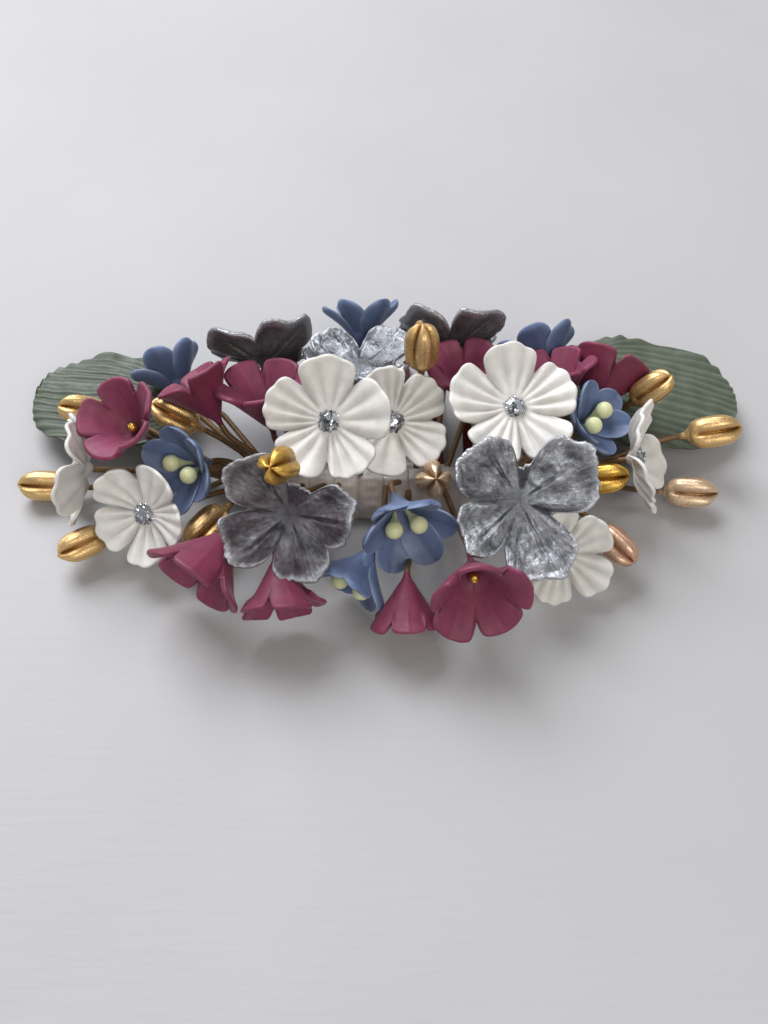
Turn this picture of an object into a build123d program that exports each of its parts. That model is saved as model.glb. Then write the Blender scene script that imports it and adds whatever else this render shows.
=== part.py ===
from build123d import *
import math
import os

# Decorative hair comb: moulded flowers, gilded buds and two leaves, each on its own wire. The wires run
# to one taped main stem, which is bound with ribbon to the spine of a flat side comb.
#
# Millimetres, +Z up. The comb lies flat with its teeth towards +Y, and -Y is the showing side.
# The origin is the middle of the floor area that the whole ornament covers.

os.makedirs("parts", exist_ok=True)

# ---- overall sizes -------------------------------------------------------------------------------
SPRAY_LENGTH = 120.0      # across the wired roots of the outermost buds
SPRAY_DEPTH = 60.0        # front to back, across the roots of the flowers
SPRAY_HEIGHT = 25.0       # height of the topmost root above the surface

# ---- comb ----------------------------------------------------------------------------------------
COMB_X = 5.0              # middle of the comb along the spray
SPINE_DEPTH = 9.0         # front to back
SPINE_Y = -5.0            # middle of the spine
COMB_THICK = 2.2
TEETH = 9
TOOTH_PITCH = 6.0
TOOTH_LENGTH = 32.0
TOOTH_ROOT = 2.2          # tooth width where it leaves the spine
TOOTH_TIP = 1.3           # tooth width at the rounded tip
COMB_ARCH = 1.6           # how far the middle of the teeth stands up off a flat surface
SPINE_END = 2.0           # spine past the outer teeth
SPINE_CORNER = 1.5        # radius of the spine's corners

# ---- binding -------------------------------------------------------------------------------------
RIBBON = 0.6              # satin ribbon, two layers
RIBBON_END = 1.5          # bare spine left at each end
MAIN_STEM = 3.6           # taped bundle of wires, diameter
STEM_SPREAD = 14.0        # length of each bent-back end of the main stem, along the spray
STEM_SWEEP = 5.0          # how far each end bends towards the back
STEM_RISE = -1.0          # how far each end is above the middle
JOIN_SHARE = 0.85         # how far out along the main stem the outermost wires join it

# ---- wires ---------------------------------------------------------------------------------------
WIRE = 1.1                # taped flower wire, diameter
NUB = 1.2                 # radius of the flat calyx that each wire meets
KNEE = 4.5                # straight wire behind each head before it bends
BEND_SHARE = 0.45         # how much of the shorter run beside a corner its bend takes up

# ---- heads ---------------------------------------------------------------------------------------
WHITE_RADIUS = 11.0
WHITE_DISH = 2.6          # depth of the dish
SILVER_RADIUS = 12.0
SILVER_DISH = 3.0
BELL_RADIUS = 8.0
BELL_LENGTH = 10.5
BLUE_RADIUS = 8.5
BLUE_LENGTH = 8.0
BUD_LENGTH = 10.0
BUD_WIDTH = 6.4
BUD_GROOVE = 0.8          # radius of the four grooves
BUD_TIP = 0.5             # radius of the blunt tip
GROOVE_FLATTER = 1.35     # how much flatter a groove's curve is than the bud's side
PETAL = 0.9               # thickness of every moulded petal
WHITE_PETAL = (0.92, 1.0, 0.45)   # petal length, petal width and eye, as shares of the flower's radius
SILVER_PETAL = (0.95, 0.88, 0.36)
BELL_PETAL = (0.95, 0.9, 0.5)
BLUE_PETAL = (0.98, 0.56, 0.46)
BELL_WAIST = 0.48         # radius halfway up a bell, as a share of its rim's
BLUE_WAIST = 0.5
WAIST_HEIGHT = 0.52       # where that is, as a share of the length
BELL_FLOOR = 2.4          # height of the seat in a bell's throat
BLUE_FLOOR = 2.0
BLUE_SEAT = 1.6           # radius of the seat for a pair of stamens
RIM_TRIM = 0.1            # taken off a turned rim when its petals are cut
DISH_FLAT = 0.3           # radius of a dish's flat eye, as a share of the flower's radius
DISH_MIDDLE = 0.61        # a point on the dish's curve: how far out, as a share of the radius,
DISH_SAG = 0.42           # and how high, as a share of the dish
WALL_ACROSS = 0.75        # the trumpet's wall at its waist, across and up, as shares of PETAL
WALL_UP = 0.6
LIP_ACROSS = 0.3          # the same at its rim
LIP_UP = 0.9
CRYSTAL_RADIUS = 2.8
CRYSTAL_HEIGHT = 1.8
CRYSTAL_TAPER = 30.0      # degrees that its side leans in
BEAD = 2.0                # gilt bead, diameter
STAMEN = 3.2              # pip head, diameter
STAMEN_LENGTH = 4.6       # of the pip
FILAMENT = 0.8            # thread under the pip, diameter
FILAMENT_LENGTH = 2.0
STAMEN_FOOT = 0.25        # how far above the throat's floor the leaning thread starts
STAMEN_LEAN = 17.0        # degrees
FIT = 0.05                # clearance round seated beads

# ---- leaves --------------------------------------------------------------------------------------
LEAF_LENGTH = 36.0
LEAF_WIDTH = 28.0
LEAF_THICK = 1.0
LEAF_CAMBER = 2.4
STALK = 3.0               # length of the blade's square foot, which its wire meets

# Where each head's calyx sits and where it faces. along: percent of the half length from the middle;
# across: percent of the half depth from the main stem; up: percent of the height; swing: degrees that
# it faces round from the front, towards +X; lift: degrees that it faces above level; twist: degrees
# about its own axis; size: percent of its kind's size.
WHITE_FLOWERS = [
    (-16, -9, 102, -3, 50, 18, 104),
    (3, 13, 73, 19, 46, 20, 93),
    (40, 9, 93, 7, 66, 18, 109),
    (-72, -41, 45, -26, 36, 10, 87),
    (-92, -12, 54, -87, 8, 18, 98),
    (78, -5, 56, 82, 19, 18, 98),
    (54, -63, 32, 11, 35, 30, 87),
]
SILVER_FLOWERS = [
    (-27, -62, 77, -8, 46, 45, 97),
    (40, -53, 78, 8, 50, 45, 108),
    (-8, 65, 69, 176, 76, 45, 88),
    (-39, 66, 75, -174, 26, 45, 90),
    (21, 77, 78, 177, 29, 45, 88),
]
BELLS = [
    (-75, 8, 66, -50, 62, 0, 92),
    (-52, 16, 75, -135, 47, 20, 88),
    (-35, 17, 64, -154, 74, 0, 100),
    (27, 45, 60, -82, 87, 0, 90),
    (58, 44, 53, -152, 64, 0, 88),
    (68, 44, 47, 154, 27, 0, 100),
    (-46, -65, 57, -33, -13, 0, 108),
    (-31, -82, 51, 9, -27, 0, 85),
    (7, -92, 46, 0, -48, 18, 78),
    (26, -82, 49, 4, 14, 18, 102),
]
BLUE_FLOWERS = [
    (-56, -3, 48, -40, 31, 0, 101),
    (-66, 61, 44, -144, 26, 0, 96),
    (-7, 104, 46, 180, 44, 0, 99),
    (55, 72, 50, -164, 28, 0, 101),
    (61, 22, 55, 58, 50, 0, 89),
    (4, -44, 64, 15, 6, 0, 106),
    (-4, -70, 44, -32, -24, 0, 90),
]
GOLD_BUDS = [
    (-102, 3, 11, -86, 9, 45, 100),
    (-91, 45, 40, -81, 25, 45, 95),
    (-87, -40, 19, -55, 4, 45, 95),
    (-59, 22, 56, -95, 35, 45, 100),
    (-49, -32, 36, -39, -8, 45, 100),
    (-27, -50, 112, -18, 46, 45, 100),
    (12, 40, 97, 185, 80, 45, 100),
    (15, -17, 48, 5, 52, 45, 100),
    (82, 48, 51, 89, 51, 45, 95),
    (99, 28, 38, 92, 12, 45, 104),
    (91, -4, 16, 80, 8, 45, 100),
    (61, -14, 43, 83, 17, 45, 95),
    (67, -43, 29, 37, -3, 45, 95),
]
# Where a wire has to go under another head, the point that it goes through: along, across, up.
DETOURS = {
    "burgundy_bell_9": (8, -69, 34),
    "gold_bud_6": (-33, -40, 54),
}
# Each leaf: along and across and up as above, heading in degrees from +X, tilt of its tip, size.
LEAVES = {
    "leaf_left": (-63, 67, 14, 176, -1, 94),
    "leaf_right": (57, 93, 14, -12, -1, 108),
}

COMB_WIDTH = (TEETH - 1) * TOOTH_PITCH + TOOTH_ROOT + 2 * SPINE_END
SPINE_FRONT = SPINE_Y - SPINE_DEPTH / 2
SPINE_BACK = SPINE_Y + SPINE_DEPTH / 2
TIP_Y = SPINE_BACK + TOOTH_LENGTH
SPINE_BASE = RIBBON
STEM_Z = SPINE_BASE + COMB_THICK + MAIN_STEM / 2 + COMB_ARCH / 2

finished = []


def keep(piece, name):
    """Label a finished piece and put it on the list of pieces to write."""
    piece.label = name
    finished.append(piece)


def root_point(along, across, up):
    """The place of a head's calyx from its shares of the spray."""
    x = along / 100 * SPRAY_LENGTH / 2
    y = SPINE_Y + across / 100 * SPRAY_DEPTH / 2
    return Vector(x, y, up / 100 * SPRAY_HEIGHT)


def turn(plane, degrees):
    """The plane turned about its own normal."""
    angle = math.radians(degrees)
    x_dir = plane.x_dir * math.cos(angle) + plane.y_dir * math.sin(angle)
    return Plane(plane.origin, x_dir=x_dir, z_dir=plane.z_dir)


def head_plane(along, across, up, swing, lift, twist):
    """The plane of a head's calyx: its normal is the way that the head faces."""
    swing = math.radians(swing)
    lift = math.radians(lift)
    facing = Vector(math.sin(swing) * math.cos(lift), -math.cos(swing) * math.cos(lift), math.sin(lift))
    level = Vector(math.cos(swing), math.sin(swing), 0)
    return turn(Plane(root_point(along, across, up), x_dir=level, z_dir=facing), twist)


def radial_plane(plane):
    """The section plane of a head: its x runs outwards and its y runs along the head's axis."""
    return Plane(plane.origin, x_dir=plane.x_dir, z_dir=-plane.y_dir)


def petal_outline(plane, count, radius, shape):
    """Rounded petals round an eye, to which a turned corolla is cut back."""
    petal_length, petal_width, eye = (share * radius for share in shape)
    with BuildSketch(plane) as outline:
        with PolarLocations(radius - RIM_TRIM - petal_length / 2, count):
            Ellipse(petal_length / 2, petal_width / 2)
        Circle(eye)
    return outline.sketch


def open_flower(plane, count, radius, dish, shape):
    """A shallow dish of petals with a flat eye and a flat calyx."""
    flat = DISH_FLAT * radius
    middle = (DISH_MIDDLE * radius, DISH_SAG * dish)
    with BuildPart() as corolla:
        with BuildSketch(radial_plane(plane)):
            with BuildLine():
                Line((0, 0), (NUB, 0))
                ThreePointArc((NUB, 0), middle, (radius, dish))
                Line((radius, dish), (radius, dish + PETAL))
                ThreePointArc((radius, dish + PETAL), (middle[0], middle[1] + PETAL), (flat, PETAL))
                Line((flat, PETAL), (0, PETAL))
                Line((0, PETAL), (0, 0))
            make_face()
        revolve(axis=Axis(plane.origin, plane.z_dir))
        outline = petal_outline(plane, count, radius, shape)
        extrude(outline, amount=2 * (dish + PETAL), both=True, mode=Mode.INTERSECT)
    return corolla.part


def trumpet(plane, count, radius, length, waist, seat, floor, shape):
    """A flared corolla whose throat ends in a flat seat, cut into petals at its rim."""
    outer_waist = (waist * radius, WAIST_HEIGHT * length)
    inner_waist = (outer_waist[0] - WALL_ACROSS * PETAL, outer_waist[1] + WALL_UP * PETAL)
    lip = (radius - LIP_ACROSS * PETAL, length + LIP_UP * PETAL)
    with BuildPart() as corolla:
        with BuildSketch(radial_plane(plane)):
            with BuildLine():
                Line((0, 0), (NUB, 0))
                ThreePointArc((NUB, 0), outer_waist, (radius, length))
                Line((radius, length), lip)
                ThreePointArc(lip, inner_waist, (seat, floor))
                Line((seat, floor), (0, floor))
                Line((0, floor), (0, 0))
            make_face()
        revolve(axis=Axis(plane.origin, plane.z_dir))
        outline = petal_outline(plane, count, radius, shape)
        extrude(outline, amount=2 * (length + PETAL), both=True, mode=Mode.INTERSECT)
    return corolla.part


def gold_bud(plane, scale):
    """A plump spindle on a flat calyx, with four rounded grooves that run out near its tip."""
    radius = BUD_WIDTH / 2 * scale
    half = BUD_LENGTH / 2 * scale
    groove_sweep = GROOVE_FLATTER * (half ** 2 + radius ** 2) / (2 * radius)
    with BuildPart() as bud:
        with BuildSketch(radial_plane(plane)):
            with BuildLine():
                Line((0, 0), (NUB, 0))
                ThreePointArc((NUB, 0), (radius, half), (BUD_TIP, 2 * half))
                Line((BUD_TIP, 2 * half), (0, 2 * half))
                Line((0, 2 * half), (0, 0))
            make_face()
        revolve(axis=Axis(plane.origin, plane.z_dir))
        for quarter in range(4):
            turned = turn(plane, 90 * quarter)
            rim = turned.origin + turned.z_dir * half + turned.x_dir * radius
            with BuildSketch(Plane(rim, x_dir=turned.x_dir, z_dir=turned.z_dir)):
                Circle(BUD_GROOVE)
            revolve(axis=Axis(rim - turned.x_dir * groove_sweep, turned.y_dir), mode=Mode.SUBTRACT)
    return bud.part


def leaf(along, across, up, heading, tilt, size):
    """A broad cambered blade, rooted at its stalk."""
    length = LEAF_LENGTH * size / 100
    width = LEAF_WIDTH * size / 100
    root = Plane(root_point(along, across, up)).rotated((0, -tilt, heading), ordering=Extrinsic.XYZ)
    section = Plane(root.origin, x_dir=root.x_dir, z_dir=-root.y_dir)
    with BuildPart() as blade:
        with BuildSketch(section):
            with BuildLine():
                ThreePointArc((0, 0), (length / 2, LEAF_CAMBER), (length, 0))
                Line((length, 0), (length, LEAF_THICK))
                ThreePointArc((length, LEAF_THICK), (length / 2, LEAF_CAMBER + LEAF_THICK), (0, LEAF_THICK))
                Line((0, LEAF_THICK), (0, 0))
            make_face()
        extrude(amount=width, both=True)
        with BuildSketch(root.offset(-2 * LEAF_CAMBER)):
            with Locations((length / 2, 0)):
                Ellipse(length / 2, width / 2)
            with Locations((STALK / 2, 0)):
                Rectangle(STALK, 2 * WIRE)
        extrude(amount=6 * LEAF_CAMBER, mode=Mode.INTERSECT)
    return blade.part, root


# ---- comb: an arched side comb, teeth towards the back --------------------------------------------
with BuildPart() as comb:
    with BuildSketch(Plane.YZ.offset(COMB_X)):
        with BuildLine():
            crown = (SPINE_Y + TIP_Y) / 2
            ThreePointArc((SPINE_FRONT, SPINE_BASE), (crown, SPINE_BASE / 2 + COMB_ARCH), (TIP_Y, 0))
            Line((TIP_Y, 0), (TIP_Y, COMB_THICK))
            ThreePointArc(
                (TIP_Y, COMB_THICK),
                (crown, SPINE_BASE / 2 + COMB_ARCH + COMB_THICK),
                (SPINE_FRONT, SPINE_BASE + COMB_THICK),
            )
            Line((SPINE_FRONT, SPINE_BASE + COMB_THICK), (SPINE_FRONT, SPINE_BASE))
        make_face()
    extrude(amount=COMB_WIDTH / 2, both=True)
    with BuildSketch(Plane.XY.offset(-1)) as plan:
        with Locations((COMB_X, SPINE_Y)):
            RectangleRounded(COMB_WIDTH, SPINE_DEPTH, SPINE_CORNER)
        for tooth in range(TEETH):
            x = COMB_X + (tooth - (TEETH - 1) / 2) * TOOTH_PITCH
            shoulder = TIP_Y - TOOTH_TIP / 2
            with BuildLine():
                Line((x - TOOTH_ROOT / 2, SPINE_Y), (x - TOOTH_TIP / 2, shoulder))
                ThreePointArc((x - TOOTH_TIP / 2, shoulder), (x, TIP_Y), (x + TOOTH_TIP / 2, shoulder))
                Line((x + TOOTH_TIP / 2, shoulder), (x + TOOTH_ROOT / 2, SPINE_Y))
                Line((x + TOOTH_ROOT / 2, SPINE_Y), (x - TOOTH_ROOT / 2, SPINE_Y))
            make_face()
    extrude(amount=4 * COMB_THICK + COMB_ARCH, mode=Mode.INTERSECT)
keep(comb.part, "comb")

# ---- main stem: the taped bundle that lies along the spine and bends back at both ends -------------
comb_left = COMB_X - COMB_WIDTH / 2
comb_right = COMB_X + COMB_WIDTH / 2
MAIN_ROUTE = [
    Vector(comb_left - STEM_SPREAD, SPINE_Y + STEM_SWEEP, STEM_Z + STEM_RISE),
    Vector(comb_left, SPINE_Y, STEM_Z),
    Vector(comb_right, SPINE_Y, STEM_Z),
    Vector(comb_right + STEM_SPREAD, SPINE_Y + STEM_SWEEP, STEM_Z + STEM_RISE),
]


def bend_radius(before, corner, after):
    """The largest arc that two straight runs leave room for."""
    first = corner - before
    second = after - corner
    bend = math.radians(first.get_angle(second))
    return BEND_SHARE * min(first.length, second.length) / math.tan(bend / 2)


with BuildPart() as main_stem:
    with BuildLine() as route:
        radii = [bend_radius(*MAIN_ROUTE[k:k + 3]) for k in range(2)]
        FilletPolyline(*MAIN_ROUTE, radius=radii)
    with BuildSketch(Plane(MAIN_ROUTE[0], z_dir=MAIN_ROUTE[1] - MAIN_ROUTE[0])):
        Circle(MAIN_STEM / 2)
    sweep(path=route.wires()[0])
keep(main_stem.part, "main_stem")

# ---- ribbon: wound round the spine and the main stem, between the teeth ----------------------------
with BuildPart() as ribbon_wrap:
    with BuildSketch(Plane.YZ.offset(COMB_X)):
        with BuildLine():
            flank = MAIN_STEM / 2 + RIBBON
            crest = STEM_Z + flank
            Polyline(
                (SPINE_FRONT - RIBBON, 0),
                (SPINE_BACK + RIBBON, 0),
                (SPINE_BACK + RIBBON, SPINE_BASE + COMB_THICK + COMB_ARCH),
                (SPINE_Y + flank / 2, crest),
                (SPINE_Y - flank / 2, crest),
                (SPINE_FRONT - RIBBON, SPINE_BASE + COMB_THICK + RIBBON),
                close=True,
            )
        make_face()
    extrude(amount=COMB_WIDTH / 2 - RIBBON_END, both=True)
    fillet(ribbon_wrap.edges().filter_by(Axis.X), RIBBON)
    add(comb.part, mode=Mode.SUBTRACT)
    add(main_stem.part, mode=Mode.SUBTRACT)
keep(ribbon_wrap.part, "ribbon_wrap")


# ---- wires: one to each head, from its calyx to the main stem --------------------------------------
def join_point(x):
    """The point of the main stem's middle line that a wire from a head at x runs to."""
    reach = max(abs(MAIN_ROUTE[0].X - COMB_X), 1)
    spread = (x - COMB_X) / (SPRAY_LENGTH / 2)
    x = COMB_X + spread * JOIN_SHARE * reach
    for start, end in zip(MAIN_ROUTE, MAIN_ROUTE[1:]):
        if x <= end.X or end is MAIN_ROUTE[-1]:
            return start + (end - start) * ((x - start.X) / (end.X - start.X))


def wire(head, root, away):
    """A wire that leaves a calyx straight back and then bends to the main stem."""
    points = [root, root + away * KNEE, join_point(root.X)]
    if head in DETOURS:
        through = root_point(*DETOURS[head])
        points = [root, root + away * KNEE / 2, through, join_point(through.X)]
    radii = [bend_radius(*points[k:k + 3]) for k in range(len(points) - 2)]
    with BuildPart() as one:
        with BuildLine() as path:
            FilletPolyline(*points, radius=radii)
        with BuildSketch(Plane(root, z_dir=away)):
            Circle(WIRE / 2)
        sweep(path=path.wires()[0])
    return one.part


def wire_group(kind, roots):
    """The wires of one kind of head, ending on what binds them."""
    with BuildPart() as wires:
        for number, (root, away) in enumerate(roots, 1):
            add(wire(f"{kind}_{number}", root, away))
        for core in (main_stem.part, ribbon_wrap.part, comb.part):
            add(core, mode=Mode.SUBTRACT)
    keep(wires.part, f"{kind}_wires")


# ---- white flowers with a button of crystal chips --------------------------------------------------
planes = [head_plane(*entry[:6]) for entry in WHITE_FLOWERS]
for number, (plane, entry) in enumerate(zip(planes, WHITE_FLOWERS), 1):
    radius = WHITE_RADIUS * entry[6] / 100
    keep(open_flower(plane, 5, radius, WHITE_DISH, WHITE_PETAL), f"white_flower_{number}")
with BuildPart() as crystal_centres:
    for plane in planes:
        with BuildSketch(plane.offset(PETAL)):
            Circle(CRYSTAL_RADIUS)
        extrude(amount=CRYSTAL_HEIGHT, taper=CRYSTAL_TAPER)
keep(crystal_centres.part, "crystal_centres")
wire_group("white_flower", [(plane.origin, -plane.z_dir) for plane in planes])

# ---- silvered flowers ------------------------------------------------------------------------------
planes = [head_plane(*entry[:6]) for entry in SILVER_FLOWERS]
for number, (plane, entry) in enumerate(zip(planes, SILVER_FLOWERS), 1):
    radius = SILVER_RADIUS * entry[6] / 100
    keep(open_flower(plane, 4, radius, SILVER_DISH, SILVER_PETAL), f"silver_flower_{number}")
wire_group("silver_flower", [(plane.origin, -plane.z_dir) for plane in planes])

# ---- burgundy bells, each with a gilt bead in its throat -------------------------------------------
planes = [head_plane(*entry[:6]) for entry in BELLS]
for number, (plane, entry) in enumerate(zip(planes, BELLS), 1):
    radius = BELL_RADIUS * entry[6] / 100
    length = BELL_LENGTH * entry[6] / 100
    corolla = trumpet(plane, 5, radius, length, BELL_WAIST, BEAD / 2 + FIT, BELL_FLOOR, BELL_PETAL)
    keep(corolla, f"burgundy_bell_{number}")
with BuildPart() as bell_beads:
    for plane in planes:
        with Locations(plane.offset(BELL_FLOOR + BEAD / 2)):
            Sphere(BEAD / 2)
keep(bell_beads.part, "bell_beads")
wire_group("burgundy_bell", [(plane.origin, -plane.z_dir) for plane in planes])

# ---- blue flowers, each with a pair of pip stamens -------------------------------------------------
planes = [head_plane(*entry[:6]) for entry in BLUE_FLOWERS]
for number, (plane, entry) in enumerate(zip(planes, BLUE_FLOWERS), 1):
    radius = BLUE_RADIUS * entry[6] / 100
    length = BLUE_LENGTH * entry[6] / 100
    corolla = trumpet(plane, 6, radius, length, BLUE_WAIST, BLUE_SEAT, BLUE_FLOOR, BLUE_PETAL)
    keep(corolla, f"blue_flower_{number}")
lean = math.radians(STAMEN_LEAN)
pip_widest = FILAMENT_LENGTH + STAMEN_LENGTH - STAMEN / 2
pip_shoulder = STAMEN / 2 * math.sin(math.pi / 4)
with BuildPart() as blue_stamens:
    for plane in planes:
        for side in (-1, 1):
            foot = plane.origin + plane.z_dir * BLUE_FLOOR + plane.x_dir * side * FILAMENT
            outward = plane.z_dir * math.cos(lean) + plane.x_dir * side * math.sin(lean)
            leaning = Plane(foot, x_dir=plane.y_dir, z_dir=outward)
            with BuildSketch(radial_plane(leaning)):
                with BuildLine():
                    Line((0, STAMEN_FOOT), (FILAMENT / 2, STAMEN_FOOT))
                    Line((FILAMENT / 2, STAMEN_FOOT), (FILAMENT / 2, FILAMENT_LENGTH))
                    Line((FILAMENT / 2, FILAMENT_LENGTH), (STAMEN / 2, pip_widest))
                    ThreePointArc(
                        (STAMEN / 2, pip_widest),
                        (pip_shoulder, pip_widest + pip_shoulder),
                        (0, FILAMENT_LENGTH + STAMEN_LENGTH),
                    )
                    Line((0, FILAMENT_LENGTH + STAMEN_LENGTH), (0, STAMEN_FOOT))
                make_face()
            revolve(axis=Axis(leaning.origin, leaning.z_dir))
keep(blue_stamens.part, "blue_stamens")
wire_group("blue_flower", [(plane.origin, -plane.z_dir) for plane in planes])

# ---- gold buds -------------------------------------------------------------------------------------
planes = [head_plane(*entry[:6]) for entry in GOLD_BUDS]
for number, (plane, entry) in enumerate(zip(planes, GOLD_BUDS), 1):
    keep(gold_bud(plane, entry[6] / 100), f"gold_bud_{number}")
wire_group("gold_bud", [(plane.origin, -plane.z_dir) for plane in planes])

# ---- leaves ----------------------------------------------------------------------------------------
stalks = []
for name, entry in LEAVES.items():
    blade, root = leaf(*entry)
    keep(blade, name)
    stalks.append((root.origin + root.z_dir * LEAF_THICK / 2, -root.x_dir))
wire_group("leaf", stalks)

# ---- origin at the middle of the covered floor area ------------------------------------------------
box = Compound(children=[piece.moved(Location()) for piece in finished]).bounding_box()
shift = Location((-box.center().X, -box.center().Y, -box.min.Z))
for piece in finished:
    placed = piece.moved(shift)
    placed.label = piece.label
    export_step(placed, f"parts/{piece.label}.step")
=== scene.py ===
import math
import random

import bpy
import numpy as np
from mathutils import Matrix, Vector, noise


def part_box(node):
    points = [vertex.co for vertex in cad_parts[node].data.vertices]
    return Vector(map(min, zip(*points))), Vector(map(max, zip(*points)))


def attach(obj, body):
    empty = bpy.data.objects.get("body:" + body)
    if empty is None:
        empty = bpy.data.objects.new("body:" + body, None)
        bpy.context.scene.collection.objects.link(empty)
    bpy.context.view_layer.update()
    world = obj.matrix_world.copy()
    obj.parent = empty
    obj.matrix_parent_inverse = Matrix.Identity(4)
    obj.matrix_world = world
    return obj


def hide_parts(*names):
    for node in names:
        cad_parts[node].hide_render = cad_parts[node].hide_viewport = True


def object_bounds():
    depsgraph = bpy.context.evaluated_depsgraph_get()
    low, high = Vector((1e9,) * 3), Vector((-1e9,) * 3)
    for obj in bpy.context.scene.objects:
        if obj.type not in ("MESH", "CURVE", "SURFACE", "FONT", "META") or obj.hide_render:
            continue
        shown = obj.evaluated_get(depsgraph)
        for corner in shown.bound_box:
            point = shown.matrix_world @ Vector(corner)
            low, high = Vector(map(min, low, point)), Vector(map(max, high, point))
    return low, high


# Looks of a decorative hair comb: clay flowers, gilded buds and veined leaves on taped wires, bound with
# satin ribbon to a side comb. Lengths in this file are millimetres until a mesh is made, where MM turns
# them to metres. Each head is measured from its CAD node, so nothing here repeats where a head sits.

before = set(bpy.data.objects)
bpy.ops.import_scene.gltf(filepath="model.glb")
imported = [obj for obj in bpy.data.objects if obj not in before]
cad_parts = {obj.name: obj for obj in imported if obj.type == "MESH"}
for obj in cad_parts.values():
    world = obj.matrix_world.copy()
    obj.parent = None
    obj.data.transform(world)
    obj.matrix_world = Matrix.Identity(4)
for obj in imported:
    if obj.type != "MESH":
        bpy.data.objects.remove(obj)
cad_low, cad_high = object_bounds()
MM = 0.001
TURN = 2 * math.pi

# ---- sizes that the heads share with their CAD nodes -----------------------------------------------
CALYX = 1.2               # radius of the flat calyx that ends each head
WIRE = 1.1                # taped wire, diameter
PETAL = 0.9               # clay thickness of a petal
WHITE_DISH = 2.6          # depth of a white flower's dish
SILVER_DISH = 3.0
BELL_WAIST = 0.58         # radius halfway up a bell, as a share of its rim's
BELL_OPEN = 1.1           # how much wider the petals' rolled tips reach than the cut of the flower
BELL_FLOOR = 2.4          # height of the seat in a bell's throat
BLUE_FLOOR = 2.0
BLUE_OPEN = 1.08
BEAD = 2.0                # gilt bead, diameter
STAMEN = 3.2              # pip head, diameter
STAMEN_LENGTH = 6.6       # from throat to the pip's end
STAMEN_LEAN = math.radians(17)
CRYSTAL_RADIUS = 2.8      # the seat that the glass chips cover


# ---- reading the CAD nodes -------------------------------------------------------------------------
def triangles(node):
    """The corners of a CAD node's triangles."""
    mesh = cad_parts[node].data
    mesh.calc_loop_triangles()
    corners = np.zeros(len(mesh.vertices) * 3)
    mesh.vertices.foreach_get("co", corners)
    order = np.zeros(len(mesh.loop_triangles) * 3, dtype=int)
    mesh.loop_triangles.foreach_get("vertices", order)
    return corners.reshape(-1, 3)[order].reshape(-1, 3, 3) / MM


def principal_axes(node):
    """A node's middle, its spreads and their directions, weighted by the area of its skin."""
    corners = triangles(node)
    middles = corners.mean(axis=1)
    areas = np.linalg.norm(np.cross(corners[:, 1] - corners[:, 0], corners[:, 2] - corners[:, 0]), axis=1)
    centre = np.average(middles, axis=0, weights=areas)
    offsets = middles - centre
    spreads, directions = np.linalg.eigh((offsets * areas[:, None]).T @ offsets / areas.sum())
    return corners.reshape(-1, 3), middles, areas, centre, spreads, directions


class Head:
    """Where a head's calyx is, how it is turned, how far its petals reach and how tall it is."""

    def __init__(self, node, petals):
        points, middles, areas, centre, spreads, directions = principal_axes(node)
        odd = 0 if spreads[1] - spreads[0] > spreads[2] - spreads[1] else 2
        facing = directions[:, odd]
        heights = (points - centre) @ facing
        from_axis = np.linalg.norm(points - centre - np.outer(heights, facing), axis=1)
        low_end = from_axis[heights < heights.min() + 0.02].max()
        high_end = from_axis[heights > heights.max() - 0.02].max()
        if abs(high_end - CALYX) < abs(low_end - CALYX):
            facing = -facing
            heights = -heights
        level = np.cross((0, 0, 1), facing)
        level /= np.linalg.norm(level)
        offsets = middles - centre
        angle = np.arctan2(offsets @ np.cross(facing, level), offsets @ level)
        radii = np.hypot(offsets @ np.cross(facing, level), offsets @ level)
        outer = radii > 0.6 * radii.max()
        swell = np.sum((areas * np.exp(1j * petals * angle))[outer])
        twist = np.angle(swell) / petals
        across = level * math.cos(twist) + np.cross(facing, level) * math.sin(twist)
        self.node = node
        self.twist = twist
        self.origin = centre + facing * heights.min()
        self.axes = np.array([across, np.cross(facing, across), facing])
        self.reach = from_axis.max()
        self.height = heights.max() - heights.min()

    def place(self, local):
        """Points of the head's own frame, in the object's frame."""
        return self.origin + local @ self.axes


# ---- meshes ----------------------------------------------------------------------------------------
def closed_skin(rings, **marks):
    """A closed skin over rings of points, with a pole in the middle of its first and last ring.
    Each mark is a number per point, which the material reads."""
    count, around = rings.shape[:2]
    points = np.vstack([rings.reshape(-1, 3), rings[0].mean(axis=0), rings[-1].mean(axis=0)])
    here = np.arange((count - 1) * around)
    beside = here - here % around + (here + 1) % around
    quads = np.stack([here, beside, beside + around, here + around], axis=1).tolist()
    first = np.arange(around)
    last = first + (count - 1) * around
    caps = [(count * around, b, a) for a, b in zip(first.tolist(), np.roll(first, -1).tolist())]
    caps += [(count * around + 1, a, b) for a, b in zip(last.tolist(), np.roll(last, -1).tolist())]
    faces = quads + caps
    marks = {
        key: np.concatenate([value.ravel(), [value[0].mean(), value[-1].mean()]])
        for key, value in marks.items()
    }
    return points, faces, marks


def signed_volume(points, faces):
    """Six times the volume inside a closed skin: negative if its faces point inwards."""
    fans = np.array([(f[0], f[k], f[k + 1]) for f in faces for k in range(1, len(f) - 1)])
    a, b, c = points[fans[:, 0]], points[fans[:, 1]], points[fans[:, 2]]
    return np.einsum("ij,ij->i", a, np.cross(b, c)).sum()


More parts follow.
